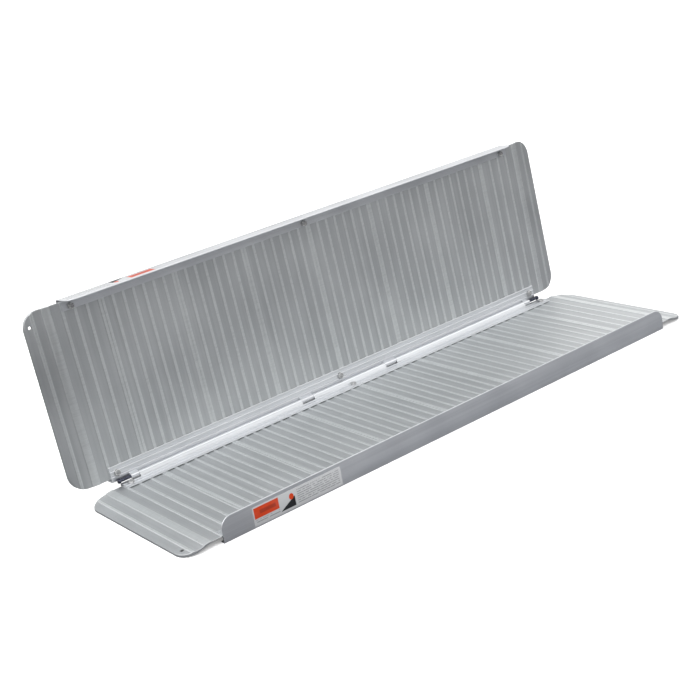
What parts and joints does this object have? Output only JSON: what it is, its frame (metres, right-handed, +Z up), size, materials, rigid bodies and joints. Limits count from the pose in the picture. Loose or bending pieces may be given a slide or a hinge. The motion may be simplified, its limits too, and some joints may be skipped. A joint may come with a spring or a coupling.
{
  "type": "portable wheelchair ramp",
  "caption": "Folding aluminium threshold ramp: ribbed plank decks between curb rails and hinge rails, folded half open about a pinned hinge.",
  "frame": {"origin": "centre of the bounding box, at ground level, in the rest pose", "axes": "+X along the ramp and its hinge, +Y from the lower half's curb towards the hinge, +Z up"},
  "size_m": [1.2246, 0.3946, 0.364],
  "materials": {
    "deck_aluminium": "mill finish, ribbed extrusion",
    "rail_aluminium": "satin clear anodised extrusion",
    "zinc_steel": "bright zinc plated",
    "sticker_vinyl": "printed vinyl"
  },
  "bodies": {
    "lower_half": {"hinge_pin": "zinc_steel", "lower_curb_bolts": "zinc_steel", "lower_curb_lock_nuts": "zinc_steel", "lower_curb_rail": "rail_aluminium", "lower_curb_washers": "zinc_steel", "lower_end_plate_left": "deck_aluminium", "lower_end_plate_right": "deck_aluminium", "lower_hinge_bolts": "zinc_steel", "lower_hinge_lock_nuts": "zinc_steel", "lower_hinge_rail": "rail_aluminium", "lower_hinge_washers": "zinc_steel", "lower_plank_1": "deck_aluminium", "lower_plank_2": "deck_aluminium", "lower_plank_3": "deck_aluminium", "lower_plank_4": "deck_aluminium", "lower_plank_5": "deck_aluminium", "lower_plank_6": "deck_aluminium", "lower_sticker": "sticker_vinyl", "pin_caps": "zinc_steel"},
    "upper_half": {"upper_curb_bolts": "zinc_steel", "upper_curb_lock_nuts": "zinc_steel", "upper_curb_rail": "rail_aluminium", "upper_curb_washers": "zinc_steel", "upper_end_plate_left": "deck_aluminium", "upper_end_plate_right": "deck_aluminium", "upper_hinge_bolts": "zinc_steel", "upper_hinge_lock_nuts": "zinc_steel", "upper_hinge_rail": "rail_aluminium", "upper_hinge_washers": "zinc_steel", "upper_plank_1": "deck_aluminium", "upper_plank_2": "deck_aluminium", "upper_plank_3": "deck_aluminium", "upper_plank_4": "deck_aluminium", "upper_plank_5": "deck_aluminium", "upper_plank_6": "deck_aluminium", "upper_sticker": "sticker_vinyl"}
  },
  "joints": [
    {"name": "fold", "type": "hinge", "parent": "lower_half", "child": "upper_half", "pos_m": [0, 0.1458, 0.0205], "axis": [1, 0, 0], "range_deg": [-84.8, 87.3]}
  ]
}
